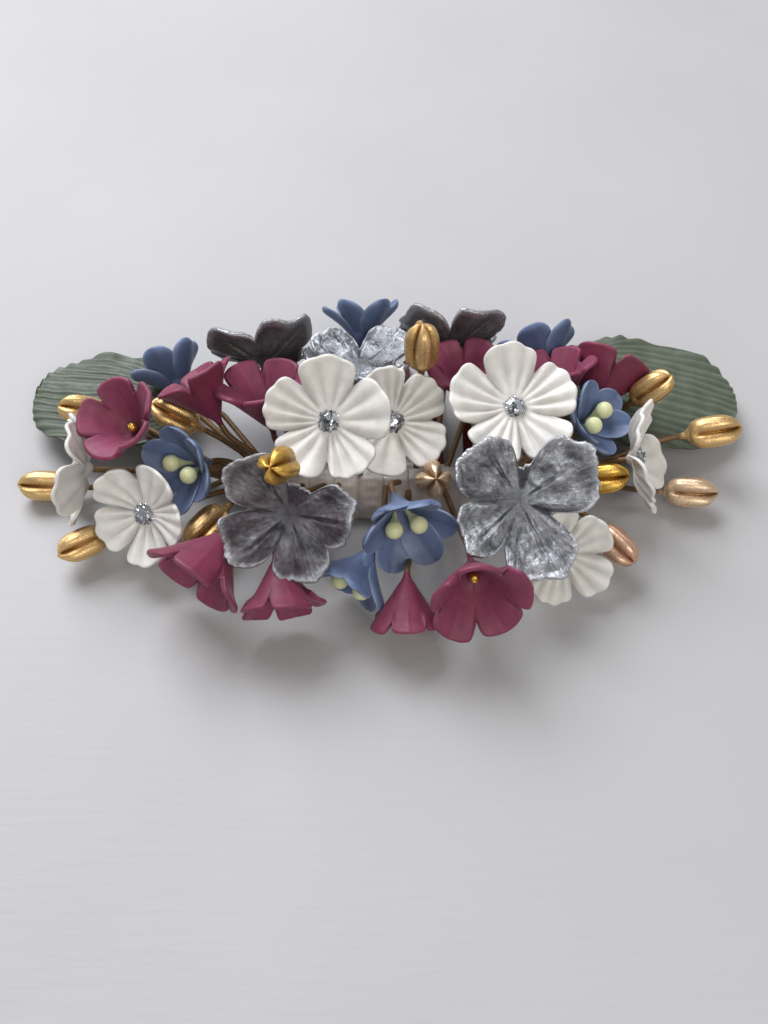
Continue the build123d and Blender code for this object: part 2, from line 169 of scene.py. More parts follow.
def make_mesh(name, skins):
    """One mesh of several closed skins, each turned to point outwards."""
    points, faces, marks = [], [], {}
    start = 0
    for skin_points, skin_faces, skin_marks in skins:
        if signed_volume(skin_points - skin_points.mean(axis=0), skin_faces) < 0:
            skin_faces = [face[::-1] for face in skin_faces]
        points.append(skin_points)
        faces += [tuple(index + start for index in face) for face in skin_faces]
        for key, value in skin_marks.items():
            marks.setdefault(key, []).append(value)
        start += len(skin_points)
    mesh = bpy.data.meshes.new(name)
    mesh.from_pydata(np.vstack(points) * MM, [], faces)
    for key, values in marks.items():
        layer = mesh.attributes.new(key, "FLOAT", "POINT")
        layer.data.foreach_set("value", np.concatenate(values).astype(np.float32))
    mesh.polygons.foreach_set("use_smooth", [True] * len(mesh.polygons))
    return mesh


def hand_over(name, mesh, material, slot, *nodes):
    """Put a finished mesh in the scene as a piece that stands for those CAD nodes."""
    piece = bpy.data.objects.new(name, mesh)
    bpy.context.scene.collection.objects.link(piece)
    if material is not None:
        mesh.materials.append(material)
    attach(piece, "root")
    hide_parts(*nodes)
    return piece


def ease(value, start, end):
    """From 0 at start to 1 at end, smoothly."""
    share = np.clip((value - start) / (end - start), 0, 1)
    return share * share * (3 - 2 * share)


def ripple(points, size, seed):
    """Smooth noise between about -1 and 1 at each point, with bumps of that size."""
    shift = Vector((seed * 7.3, seed * 3.1, seed * 5.7))
    return np.array([noise.noise(Vector(point) / size + shift) for point in points])


def brush_marks(angle, along, strokes, length):
    """Marks that run the material's brush strokes out from a head's axis: so many round it, that long."""
    scale = strokes / TURN
    around = angle * np.ones_like(along)
    return {"brush_x": scale * np.cos(around), "brush_y": scale * np.sin(around), "brush_z": along / length}


# ---- petals ----------------------------------------------------------------------------------------
def around_petals(petals, columns, sway, rng):
    """Columns round a flower: their angles, how far each is across its petal from -1 to 1, and which
    petal it is on. Petals differ a little in width, and columns are closer together at the notches."""
    jitter = np.array([rng.uniform(-sway, sway) for _ in range(petals)])
    edges = TURN / petals * (np.arange(petals + 1) - 0.5 + np.append(jitter, jitter[0]))
    step = np.linspace(-1, 1, columns, endpoint=False)
    across = 0.6 * np.sin(step * math.pi / 2) + 0.4 * step
    angle = edges[:-1, None] + (across + 1) / 2 * np.diff(edges)[:, None]
    return angle.ravel(), np.tile(across, petals), np.repeat(np.arange(petals), columns)


def outline(across, petals, reach, length, width, eye):
    """How far petals cut as ellipses reach from the flower's axis. Sizes are shares of the reach."""
    angle = across * math.pi / petals
    half, side = length / 2, width / 2
    middle = 1 - half
    square = (np.cos(angle) / half) ** 2 + (np.sin(angle) / side) ** 2
    slope = 2 * middle * np.cos(angle) / half ** 2
    rest = (middle / half) ** 2 - 1
    root = np.sqrt(np.maximum(slope ** 2 - 4 * square * rest, 0))
    return reach * np.maximum((slope + root) / (2 * square), eye)


def notch(across, depth, width):
    """The share of its reach that a petal keeps beside the narrow notch between it and the next."""
    return 1 - depth * np.exp(-(((1 - np.abs(across)) / width) ** 2))


def wheel(radii, angle, heights):
    """Points at those distances from the axis, at those angles and heights."""
    return np.stack([radii * np.cos(angle), radii * np.sin(angle), heights], axis=-1)


def dish_rings(reach, angle, top, thickness, rows):
    """Rings of a dish of petals: out over its face, round its rim and back under to the calyx.
    top(radii) gives the height of the face."""
    half = thickness / 2
    face = np.linspace(0.04, 1, rows)[:, None] * (reach - half)[None, :]
    rings = [wheel(radii, angle, top(radii)) for radii in face]
    inside = [np.ones_like(reach) for _ in face]
    lip = top(reach - half)
    for turn_angle in np.radians((35, 90, 145)):
        radii = reach - half + half * math.sin(turn_angle)
        rings.append(wheel(radii, angle, lip - half + half * math.cos(turn_angle)))
        inside.append(np.full_like(reach, 0.5))
    for radii in face[::-2]:
        under = top(radii) - thickness
        neck = np.maximum(0, 1 - radii / (2 * CALYX))
        rings.append(wheel(radii, angle, under - 2.2 * neck ** 1.5))
        inside.append(np.zeros_like(reach))
    return np.array(rings), np.array(inside)


def white_flower(head, seed):
    """Five broad petals cut from one sheet and pressed into soft pleats that fan out from the eye."""
    rng = random.Random(seed)
    angle, across, petal = around_petals(5, 64, 0.08, rng)
    lengths = np.array([rng.uniform(0.96, 1.06) for _ in range(5)])
    reach = outline(across, 5, head.reach, 0.9, 1.08, 0.45) * lengths[petal] * notch(across, 0.2, 0.11)
    pleats = np.array([rng.choice((3, 3, 4)) for _ in range(5)])[petal]
    drift = np.array([rng.uniform(-0.2, 0.2) for _ in range(5)])[petal]
    press = np.array([rng.uniform(0.6, 1.0) for _ in range(5)])[petal]
    lift = np.array([rng.uniform(-0.6, 0.6) for _ in range(5)])[petal]
    lap = np.array([rng.uniform(-0.5, 0.5) for _ in range(5)])[petal]
    warped = across + drift * (1 - across ** 2)
    ridge = 0.5 - 0.5 * np.cos(math.pi * pleats * (warped + 1))
    ridge = 0.6 * ridge ** 0.7 + 0.4 * (1 - across ** 2)
    reach *= 0.975 + 0.035 * ridge
    sway = rng.uniform(0, TURN)

    def top(radii):
        share = radii / head.reach
        dish = WHITE_DISH * np.clip((share - 0.26) / 0.74, 0, None) ** 1.4
        pleat = 1.4 * press * (ridge - 0.6) * ease(share, 0.14, 0.5) * (1 - 0.4 * ease(share, 0.72, 1))
        arch = 0.8 * (0.4 - across ** 4) * ease(share, 0.3, 1) + lap * across ** 3 * ease(share, 0.35, 0.9)
        ruffle = (0.55 * np.sin(3 * angle + sway) + lift) * ease(share, 0.4, 1.0)
        return PETAL + dish + pleat + arch + ruffle

    rings, inside = dish_rings(reach, angle, top, 0.8, 36)
    share = np.linalg.norm(rings[:, :, :2], axis=2) / head.reach
    # Painted shade: the shade mark greys the pleats' valleys and the ring round the eye.
    fold = np.clip(1 - 1.15 * ridge, 0, 1) ** 1.3
    groove = fold[None, :] * ease(share, 0.1, 0.35) * (1 - 0.6 * ease(share, 0.55, 1))
    groove = np.maximum(groove, 0.5 * (1 - ease(share, 0.16, 0.34)))
    placed = head.place(rings.reshape(-1, 3)).reshape(rings.shape)
    return closed_skin(placed, inside=inside, groove=groove)


SILVER_CLEFTS = {1: 0.42, 2: 0.4, 3: 0.28, 4: 0.14, 5: 0.14}   # share of a petal that each cleft takes
# The direction of each silver petal, in degrees round its flower from the level line, and how wide it is.
SILVER_PETALS = {
    1: ((4, 46), (139, 42), (216, 40), (292, 40)),
    2: ((22, 48), (132, 46), (207, 38), (284, 44)),
    3: ((40, 50), (130, 48), (222, 50), (318, 46)),
    4: ((38, 50), (128, 50), (225, 48), (312, 48)),
    5: ((45, 50), (140, 48), (228, 50), (320, 48)),
}


def around_cut_petals(petals, columns, twist):
    """Columns evenly round a flower whose petals point where they are cut: their angles, how far each is
    across the nearest petal, where 1 is its edge, and which petal that is."""
    angle = np.arange(columns) / columns * TURN
    away = np.array([
        ((angle + twist - math.radians(middle) + math.pi) % TURN - math.pi) / math.radians(half)
        for middle, half in petals
    ])
    petal = np.abs(away).argmin(axis=0)
    return angle, np.clip(away[petal, np.arange(columns)], -1, 1), petal


def silver_flower(head, seed, petals, cleft, torn):
    """Four creased petals with torn rims, their face brushed with metal leaf."""
    rng = random.Random(seed)
    angle, across, petal = around_cut_petals(petals, 368, head.twist)
    lengths = np.array([rng.uniform(0.98, 1.1) for _ in petals])
    reach = outline(across, 4, head.reach, 1.0, 1.1, 0.4) * lengths[petal] * notch(across, cleft, 0.15)
    rim_line = wheel(head.reach * np.ones_like(angle), angle, 0 * angle)
    reach *= 1 + torn * (0.05 * ripple(rim_line, 2.4, seed) + 0.03 * ripple(rim_line, 0.8, seed + 1))
    reach *= 1 + 0.08 * np.exp(-(((across - 0.25) / 0.22) ** 2))
    curl = np.array([rng.uniform(-1.8, 1.6) for _ in petals])[petal]
    tilt = np.array([rng.uniform(-1.4, 1.4) for _ in petals])[petal]
    fold = np.array([rng.uniform(1.6, 2.6) for _ in petals])[petal]
    drift = np.array([rng.uniform(-0.3, 0.3) for _ in petals])[petal]

    def top(radii):
        share = radii / head.reach
        dish = SILVER_DISH * np.clip((share - 0.25) / 0.75, 0, None) ** 1.3
        folds = 0.5 * np.cos(fold * math.pi * (across - drift)) * ease(share, 0.15, 0.6)
        crease = -0.8 * np.exp(-(((across - drift) / 0.07) ** 2)) * ease(share, 0.1, 0.3)
        crease *= 1 - ease(share, 0.55, 1)
        valley = -1.1 * np.exp(-(((1 - np.abs(across)) / 0.2) ** 2)) * ease(share, 0.15, 0.5)
        bent = curl * (across ** 2 + 0.3) * share ** 3 + tilt * across * share ** 2
        return PETAL + dish + folds + crease + valley + bent

    rings, inside = dish_rings(reach, angle, top, 0.75, 64)
    flat = rings.reshape(-1, 3)
    share = np.linalg.norm(rings[:, :, :2], axis=2) / head.reach
    crumple = ripple(flat, 2.8, seed + 3)
    grit = ripple(flat, 0.9, seed + 4)
    rough = torn * (0.55 * crumple + 0.22 * grit) * ease(share.ravel(), 0.05, 0.3)
    edge = ease(np.linalg.norm(rings[:, :, :2], axis=2) / reach[None, :], 0.87, 0.97)
    flat[:, 2] += rough + 0.22 * (edge * inside).ravel()
    # Painted shade: a little over the whole petal, more in the crumples' hollows and along the clefts near
    # the eye.
    groove = np.clip(0.35 - 1.2 * rough, 0, 1).reshape(share.shape)
    cleft_shade = np.exp(-(((1 - np.abs(across)) / 0.14) ** 2))[None, :] * (1 - ease(share, 0.75, 1))
    groove = np.maximum(groove, cleft_shade * ease(share, 0.08, 0.2))
    placed = head.place(flat).reshape(rings.shape)
    brushed = brush_marks(angle[None, :], share * head.reach, 165, 2.6)
    # The rim mark gives a painted highlight to each petal's edge.
    return closed_skin(placed, inside=inside, groove=groove, rim=edge, **brushed)


class Throat:
    """The arc that a trumpet's outer side follows, from the calyx through its waist to its rim."""

    def __init__(self, reach, waist, length):
        points = np.array([(CALYX, 0.0), (waist, 0.52 * length), (reach, length)])
        (ax, ay), (bx, by), (cx, cy) = points
        scale = 2 * (ax * (by - cy) + bx * (cy - ay) + cx * (ay - by))
        squares = (points ** 2).sum(axis=1)
        self.x = (squares[0] * (by - cy) + squares[1] * (cy - ay) + squares[2] * (ay - by)) / scale
        self.y = (squares[0] * (cx - bx) + squares[1] * (ax - cx) + squares[2] * (bx - ax)) / scale
        self.radius = math.hypot(ax - self.x, ay - self.y)
        self.start = math.atan2(ay - self.y, ax - self.x)
        end = math.atan2(cy - self.y, cx - self.x)
        self.sweep = (end - self.start + math.pi) % TURN - math.pi

    def at(self, share, depth):
        """The point that share of the way along, that deep inside the outer face."""
        angle = self.start + self.sweep * share
        radius = self.radius + depth
        return self.x + radius * np.cos(angle), self.y + radius * np.sin(angle)

    def share_of(self, reach):
        """How far along the arc a distance from the axis is met."""
        shares = np.linspace(0, 1, 400)
        return np.interp(reach, self.at(shares, 0)[0], shares)


def bell(head, seed):
    """A trumpet of five thick rounded petals, pinched together below and spread above."""
    rng = random.Random(seed)
    angle, across, petal = around_petals(5, 40, 0.05, rng)
    size = head.reach * BELL_OPEN
    throat = Throat(size, BELL_WAIST * size, head.height - PETAL)
    lengths = np.array([rng.uniform(0.95, 1.04) for _ in range(5)])
    reach = outline(across, 5, size, 0.94, 1.24, 0.5) * lengths[petal] * notch(across, 0.15, 0.13)
    ends = throat.share_of(np.minimum(reach, size))
    spread = np.array([rng.uniform(-0.5, 0.9) for _ in range(5)])[petal]
    skew = np.array([rng.uniform(0.2, 0.5) for _ in range(5)])[petal] * rng.choice((-1, 1))

    def wall(share, depth):
        along = ends * share
        free = ease(share, 0.66, 1)
        cup = 0.35 * across ** 2 * free + (spread - 0.7) * free * share ** 3
        lean = skew * across * free
        rib = -0.1 * np.exp(-((across / 0.1) ** 2)) * ease(share, 0.3, 0.7)
        radii, heights = throat.at(along, depth + cup + lean + rib)
        return wheel(radii, angle, heights)

    calm = np.ones_like(angle)
    rings = [wheel(radius * calm, angle, height * calm) for radius, height in
             ((WIRE / 2, -1.8), (0.62, -1.2), (0.85, -0.5), (CALYX, 0.1))]
    marks = [0 * calm for _ in rings]
    for share in np.linspace(0.05, 0.97, 30):
        rings.append(wall(share, 0))
        marks.append(0 * calm)
    for step in np.linspace(0, math.pi, 5)[1:-1]:
        rings.append(wall(0.97 + 0.03 * math.sin(step), (1 - math.cos(step)) * PETAL / 2))
        marks.append(0.5 * calm)
    for share in np.linspace(0.97, 0.34, 28):
        rings.append(wall(share, PETAL))
        marks.append(calm)
    for radius in (BEAD / 2 + 0.1, BEAD / 4):
        rings.append(wheel(radius * calm, angle, BELL_FLOOR * calm))
        marks.append(calm)
    rings, inside = np.array(rings), np.array(marks)
    share = np.linalg.norm(rings[:, :, :2], axis=2) / size
    # Painted shade: the shade mark darkens the notches and the deep throat.
    groove = 0.6 * np.exp(-(((1 - np.abs(across)) / 0.12) ** 2))[None, :] * ease(share, 0.4, 0.7)
    groove = np.maximum(groove, inside * (1 - ease(share, 0.1, 0.45)))
    placed = head.place(rings.reshape(-1, 3)).reshape(rings.shape)
    return closed_skin(placed, inside=inside, groove=groove)


def blue_flower(head, seed):
    """Six narrow spoon-shaped petals with rolled edges, three of them in front, on a short throat."""
    rng = random.Random(seed)
    size = head.reach * BLUE_OPEN
    throat = Throat(size, 0.5 * size, head.height - PETAL)
    around = 40
    loop = np.arange(around) / around * TURN
    skins = []
    for number in range(6):
        middle = TURN / 6 * (number + rng.uniform(-0.09, 0.09))
        depth = 0.55 if number % 2 else 0.05
        length = rng.uniform(0.93, 1.0)
        width = 0.365 * size * rng.uniform(0.94, 1.06)
        twist = rng.uniform(-0.25, 0.25)
        tip = rng.uniform(-0.9, 0.5)
        rings, rolled, inner = [], [], []
        for share in 1 - (1 - np.linspace(0, 1, 32)) ** 1.4:
            belly = 0.34 + 0.66 * ease(share, 0.0, 0.55)
            blunt = math.sqrt(max(1e-4, 1 - max(0, (share - 0.66) / 0.343) ** 2.2))
            side = width * belly * blunt * np.sign(np.cos(loop)) * np.abs(np.cos(loop)) ** 0.85
            thick = (0.5 + 0.16 * np.abs(np.cos(loop)) ** 3) * np.sin(loop) * min(1, blunt * 1.6)
            cup = 0.3 * width * belly * blunt * np.cos(loop) ** 2 + 0.9 * ease(share, 0.5, 1) * (1 - blunt)
            lean = twist * side * share
            fall = tip * share ** 3
            vein = -0.14 * np.exp(-((side / 0.35) ** 2)) * (np.sin(loop) > 0) * ease(share, 0.1, 0.4)
            along = length * (0.06 + 0.94 * share)
            radii, heights = throat.at(along, depth + 0.5 + thick + cup + lean + fall + vein)
            out = np.stack([radii, heights], axis=1)
            x = out[:, 0] * math.cos(middle) - side * math.sin(middle)
            y = out[:, 0] * math.sin(middle) + side * math.cos(middle)
            rings.append(np.stack([x, y, out[:, 1]], axis=1))
            # The rim mark is a painted highlight along each petal's rolled edge.
            rolled.append(np.abs(np.cos(loop)) ** 6 * ease(share, 0.2, 0.6))
            inner.append((np.sin(loop) > 0).astype(float))
        rings = np.array(rings)
        # Painted shade along the middle of each petal.
        groove = np.array([np.exp(-((np.cos(loop) / 0.2) ** 2)) * 0.6 for _ in rings])
        placed = head.place(rings.reshape(-1, 3)).reshape(rings.shape)
        skins.append(closed_skin(placed, inside=np.array(inner), groove=groove, rim=np.array(rolled)))
    cup_profile = (
        (WIRE / 2, -1.8), (0.7, -1.0), (CALYX, 0), (2.1, 1.6), (2.5, 2.7), (2.2, 3.0),
        (1.6, BLUE_FLOOR), (0.5, BLUE_FLOOR),
    )
    skins.append(turned(head, cup_profile, 32))
    return skins


def turned(head, profile, around, shift=(0.0, 0.0, 0.0), lean=0.0):
    """A skin turned round the head's axis from a profile of distances and heights, leant and shifted."""
    angle = np.arange(around) / around * TURN
    calm = np.ones(around)
    rings = np.array([wheel(radius * calm, angle, height * calm) for radius, height in profile])
    flat = rings.reshape(-1, 3)
    leant = flat.copy()
    leant[:, 0] = flat[:, 0] * math.cos(lean) + flat[:, 2] * math.sin(lean)
    leant[:, 2] = flat[:, 2] * math.cos(lean) - flat[:, 0] * math.sin(lean)
    placed = head.place(leant + np.array(shift)).reshape(rings.shape)
    unmarked = np.zeros(rings.shape[:2])
    return closed_skin(placed, inside=unmarked, groove=unmarked, rim=unmarked)


def gold_bud(head, seed):
    """A plump bud of four rounded lobes that close over its blunt end, with fine creases down each lobe."""
    rng = random.Random(seed)
    around = 112
    angle = np.arange(around) / around * TURN
    radius, length = head.reach, head.height
    wind = rng.uniform(-0.18, 0.18)
    plump = np.array([rng.uniform(0.94, 1.05) for _ in range(4)])
    ends = np.array([rng.uniform(-0.35, 0.25) for _ in range(4)])
    rings, grooves = [], []
    calm = np.ones(around)
    for ring_radius, height in ((WIRE / 2, -1.6), (0.68, -0.8), (0.95, -0.2)):
        rings.append(wheel(ring_radius * calm, angle, height * calm))
        grooves.append(0.3 * calm)
    for share in np.linspace(0.0, 1.0, 46):
        turned_angle = angle + wind * share
        lobe = np.floor((turned_angle + TURN / 8) / (TURN / 4)).astype(int) % 4
        swell = np.abs(np.cos(2 * turned_angle))
        cut = (1 - swell) ** 1.35
        crease = np.exp(-((np.abs(np.sin(2 * turned_angle)) / 0.13) ** 2))
        body = (1.0 - abs(2 * share ** 0.9 - 1) ** 3.2) ** 0.6
        bare = CALYX * (1 - ease(share, 0, 0.2))
        depth = 0.4 + 0.18 * ease(share, 0.4, 0.9)
        fine = 0.045 * crease * ease(share, 0.15, 0.5) * (1 - ease(share, 0.7, 0.95))
        swollen = radius * 1.05 * body * plump[lobe] * (1 - depth * cut * ease(share, 0.02, 0.2) - fine)
        radii = np.maximum(bare, swollen)
        top = length * share + ends[lobe] * swell * share ** 4 - 1.3 * cut * ease(share, 0.6, 1)
        rings.append(wheel(radii, turned_angle - wind * share, top))
        # Painted shade in the cuts between the lobes and in the fine creases; the neck's rings carry some
        # too.
        grooves.append(np.clip(cut * ease(share, 0.02, 0.3) + 0.4 * crease * ease(share, 0.1, 0.4), 0, 1))
    flat = np.array(rings)
    placed = head.place(flat.reshape(-1, 3))
    placed[:, 2] = np.maximum(placed[:, 2], cad_low.z / MM)
    marks = brush_marks(angle, flat[:, :, 2], 60, 5.0)
    return closed_skin(placed.reshape(flat.shape), groove=np.array(grooves), **marks)


# ---- leaves ----------------------------------------------------------------------------------------
RIB_PITCH = 2.0           # between one rib and the next at the leaf's widest


def leaf(node, seed):
    """A broad blade with raised ribs that run from the stalk to the tip, and a rim that waves with them."""
    points, _, _, centre, _, directions = principal_axes(node)
    up = directions[:, 0] * np.sign(directions[2, 0])
    out = directions[:, 2] * np.sign(directions[0, 2] * centre[0])
    side = np.cross(up, out)
    along = (points - centre) @ out
    width = np.ptp((points - centre) @ side)
    base = centre + out * along.min()
    length = np.ptp(along)
    thick = 0.5
    shell = np.linspace(-1, 1, 110)
    loop = np.concatenate([shell, shell[::-1]])
    face = np.concatenate([np.ones(110), np.zeros(110)])
    rings, grooves = [], []
    shares = 0.5 - 0.5 * np.cos(np.linspace(0.06, math.pi - 0.06, 120))
    for share in shares:
        span = width / 2 * (1 - abs(2 * share - 1) ** 2.3) ** (1 / 2.3)
        reach = loop * span
        fan = 0.45 + 0.55 * ease(share, 0, 0.55)
        bow = 2.5 * share ** 2
        phase = TURN * (reach / fan + bow) / RIB_PITCH
        phase += 1.1 * np.sin(0.45 * reach + 6 * share)
        phase += 0.5 * np.sin(1.1 * reach)
        rib = (0.5 + 0.5 * np.cos(phase)) ** 1.1
        fade = ease(share, 0.02, 0.25)
        camber = 9.6 * share * (1 - share) * 0.42 * (1 - loop ** 2 * 0.9)
        wave = 0.7 * np.sin(16 * share + 2 * np.sign(loop)) * np.abs(loop) ** 5
        edge = np.abs(loop) ** 8
        x = length * share
        z = camber + wave + 0.32 * rib * fade + (face - 0.5) * thick * (1 - 0.6 * edge)
        out_of_line = 0.3 * np.sign(loop) * np.cos(phase) * edge
        local = np.outer(x * np.ones_like(loop), out) + np.outer(reach + out_of_line, side)
        rings.append(base + local + np.outer(z, up))
        # Painted shade in the lines between the ribs.
        grooves.append(1 - rib)
    rings = np.array(rings)
    rough = ripple(rings.reshape(-1, 3), 3.5, seed).reshape(rings.shape[:2])
    rings = rings + 0.3 * rough[:, :, None] * up
    return closed_skin(rings, groove=np.array(grooves), inside=np.tile(face, (len(shares), 1)))


# ---- materials -------------------------------------------------------------------------------------
def tint(code):
    """An sRGB hex colour as the linear one that a shader takes."""
    parts = [int(code[k:k + 2], 16) / 255 for k in (1, 3, 5)]
    return [p / 12.92 if p <= 0.04045 else ((p + 0.055) / 1.055) ** 2.4 for p in parts] + [1.0]


def add(tree, kind, sockets=None, **settings):
    """Add a node with its settings. A socket is given a value, or another node's output to link."""
    made = tree.nodes.new(kind)
    for name, value in settings.items():
        setattr(made, name, value)
    for name, value in (sockets or {}).items():
        if isinstance(value, bpy.types.NodeSocket):
            tree.links.new(value, made.inputs[name])
        else:
            made.inputs[name].default_value = value
    return made


def new_material(name):
    """An empty node material."""
    material = bpy.data.materials.new(name)
    material.use_nodes = True
    material.node_tree.nodes.clear()
    return material, material.node_tree


def per_mm(size):
    """The texture scale that gives features of that size on Object coordinates."""
    return 1 / (size * MM)


MIX_A, MIX_B, MIX_OUT = 6, 7, 2   # the colour sockets of a Mix node


def clay(name, face, back, fold, edge, roughness, glow):
    """Hand-moulded air-dry clay: matt, a little mottled, with fine tool marks. Painted shade darkens its
    folds and its back, and a painted highlight lightens its rims.
    """
    material, tree = new_material(name)
    place = add(tree, "ShaderNodeTexCoord").outputs["Object"]
    inside = add(tree, "ShaderNodeAttribute", attribute_name="inside").outputs["Fac"]
    groove = add(tree, "ShaderNodeAttribute", attribute_name="groove").outputs["Fac"]
    rim = add(tree, "ShaderNodeAttribute", attribute_name="rim").outputs["Fac"]
    mottle = add(tree, "ShaderNodeTexNoise", {"Vector": place, "Scale": per_mm(2.6), "Detail": 5.0})
    # Painted shade: the back of each petal and leaf takes the darker back colour.
    face_and_shaded_back = add(tree, "ShaderNodeMix", {0: inside, MIX_A: tint(back), MIX_B: tint(face)}, data_type="RGBA")
    patch = add(tree, "ShaderNodeMapRange",
                {"Value": mottle.outputs["Fac"], 1: 0.35, 2: 0.7, 3: 0.0, 4: 0.32})
    mixed = add(tree, "ShaderNodeMix",
                {0: patch.outputs[0], MIX_A: face_and_shaded_back.outputs[MIX_OUT], MIX_B: tint(fold)}, data_type="RGBA")
    # Painted shade: the shade mark darkens the colour towards the fold colour in folds and hollows.
    deep = add(tree, "ShaderNodeMath", {0: groove, 1: 0.62}, operation="MULTIPLY")
    fold_shaded = add(tree, "ShaderNodeMix",
                 {0: deep.outputs[0], MIX_A: mixed.outputs[MIX_OUT], MIX_B: tint(fold)}, data_type="RGBA")
    # Painted highlight: the rim mark lightens the rims towards the edge colour.
    wear_and_rim_highlight = add(tree, "ShaderNodeMath", {0: rim, 1: 0.55}, operation="MULTIPLY")
    colour = add(tree, "ShaderNodeMix",
                 {0: wear_and_rim_highlight.outputs[0], MIX_A: fold_shaded.outputs[MIX_OUT], MIX_B: tint(edge)}, data_type="RGBA")
    grain = add(tree, "ShaderNodeTexNoise", {"Vector": place, "Scale": per_mm(0.35), "Detail": 3.0})
    marks = add(tree, "ShaderNodeTexNoise", {"Vector": place, "Scale": per_mm(1.8), "Detail": 2.0})
    both = add(tree, "ShaderNodeMath", {0: marks.outputs["Fac"], 1: grain.outputs["Fac"]}, operation="ADD")
    bump = add(tree, "ShaderNodeBump", {"Height": both.outputs[0], "Strength": 0.3, "Distance": 0.12 * MM})
    dull = add(tree, "ShaderNodeMapRange",
               {"Value": marks.outputs["Fac"], 1: 0.3, 2: 0.7, 3: roughness - 0.07, 4: roughness + 0.08})
    shader = add(tree, "ShaderNodeBsdfPrincipled", {
        "Base Color": colour.outputs[MIX_OUT], "Roughness": dull.outputs[0], "Normal": bump.outputs[0],
        "IOR": 1.5, "Subsurface Weight": glow, "Subsurface Radius": (1.0, 0.85, 0.7),
        "Subsurface Scale": 0.8 * MM, "Sheen Weight": 0.12, "Sheen Roughness": 0.4,
    })
    add(tree, "ShaderNodeOutputMaterial", {"Surface": shader.outputs[0]})
    return material


def metal_paint(name, bright, deep, wear_and_rim_highlight, worn_share, roughness, cover=0.75, streaks=0.6, raised=0.7):
    """Metallic leaf or mica paint brushed over clay: streaked by the brush, with a painted highlight on its
    rims and painted shade in its folds. Cover is how metallic it is, streaks how much the brush darkens it,
    and raised how strongly its strokes stand out."""
    material, tree = new_material(name)
    place = add(tree, "ShaderNodeTexCoord").outputs["Object"]
    marks = {
        key: add(tree, "ShaderNodeAttribute", attribute_name=key).outputs["Fac"]
        for key in ("groove", "rim", "brush_x", "brush_y", "brush_z")
    }
    brushed = add(tree, "ShaderNodeCombineXYZ", {
        "X": marks["brush_x"], "Y": marks["brush_y"], "Z": marks["brush_z"]})
    strokes = add(tree, "ShaderNodeTexNoise", {
        "Vector": brushed.outputs[0], "Scale": 1.0, "Detail": 4.0, "Roughness": 0.65, "Distortion": 0.6})
    grit = add(tree, "ShaderNodeTexNoise", {
        "Vector": place, "Scale": per_mm(0.7), "Detail": 5.0, "Roughness": 0.6, "Distortion": 0.8})
    patches = add(tree, "ShaderNodeTexNoise", {"Vector": place, "Scale": per_mm(5.5), "Detail": 4.0})
    # Painted shade: the shade mark darkens the folds towards the deep colour.
    folds = add(tree, "ShaderNodeMix", {0: marks["groove"], MIX_A: tint(bright), MIX_B: tint(deep)},
                data_type="RGBA")
    streak = add(tree, "ShaderNodeMapRange",
                 {"Value": strokes.outputs["Fac"], 1: 0.42, 2: 0.66, 3: 0.0, 4: streaks})
    streaked = add(tree, "ShaderNodeMix", {
        0: streak.outputs[0], MIX_A: folds.outputs[MIX_OUT], MIX_B: tint(deep)}, data_type="RGBA")
    thin = add(tree, "ShaderNodeMapRange", {
        "Value": patches.outputs["Fac"], 1: 0.52 - 0.22 * worn_share, 2: 0.62, 3: 0.0, 4: worn_share})
    bare = add(tree, "ShaderNodeMath", {0: thin.outputs[0], 1: marks["rim"]},
               operation="SUBTRACT", use_clamp=True)
    rubbed = add(tree, "ShaderNodeMix", {
        0: bare.outputs[0], MIX_A: streaked.outputs[MIX_OUT], MIX_B: tint(wear_and_rim_highlight)}, data_type="RGBA")
    # Painted highlight: the rim mark brightens the rims towards the bright colour.
    lit = add(tree, "ShaderNodeMath", {0: marks["rim"], 1: 0.8}, operation="MULTIPLY")
    colour = add(tree, "ShaderNodeMix", {
        0: lit.outputs[0], MIX_A: rubbed.outputs[MIX_OUT], MIX_B: tint(bright)}, data_type="RGBA")
    relief = add(tree, "ShaderNodeMath",
                 {0: strokes.outputs["Fac"], 1: grit.outputs["Fac"]}, operation="ADD")
    bump = add(tree, "ShaderNodeBump",
               {"Height": relief.outputs[0], "Strength": raised, "Distance": 0.22 * MM})
    rough = add(tree, "ShaderNodeMapRange", {
        "Value": grit.outputs["Fac"], 1: 0.35, 2: 0.7, 3: roughness - 0.1, 4: roughness + 0.14})
    metal = add(tree, "ShaderNodeMapRange", {"Value": bare.outputs[0], 3: cover, 4: 0.4 * cover})
    shader = add(tree, "ShaderNodeBsdfPrincipled", {
        "Base Color": colour.outputs[MIX_OUT], "Roughness": rough.outputs[0], "Normal": bump.outputs[0],
        "Metallic": metal.outputs[0],
    })
    add(tree, "ShaderNodeOutputMaterial", {"Surface": shader.outputs[0]})
    return material


# Cold porcelain is a little translucent, so its thin rims glow and its pleats stay warm in shade.
# Its grey fold colour gives the mottling and the painted shade in the pleats and round the eye; its darker
# back colour is painted shade under the petals.
white_clay = clay("white_cold_porcelain_moulded", "#E8E5DE", "#DAD7D1", "#A29E98", "#F1EEE8", 0.5, 0.35)
# Wine-coloured clay, matt as rubbed chalk; the darker outside of the bells is painted shade, and so are the
# dark notches and deep throats.
burgundy_clay = clay("burgundy_clay_moulded", "#883855", "#7A2A45", "#48162E", "#9A5068", 0.55, 0.1)
# Dusty blue clay: a painted highlight makes its rolled rims paler, and painted shade darkens its backs and
# each petal's middle.
blue_clay = clay("dusty_blue_clay_moulded", "#64759A", "#54668A", "#394860", "#93A3BC", 0.48, 0.1)
# Grey-green clay pressed on a veiner: pale ribs, with painted shade in the lines between them and on the
# leaf's back.
green_clay = clay("grey_green_clay_veined", "#5A6350", "#4A5443", "#303A2B", "#7C8870", 0.5, 0.1)
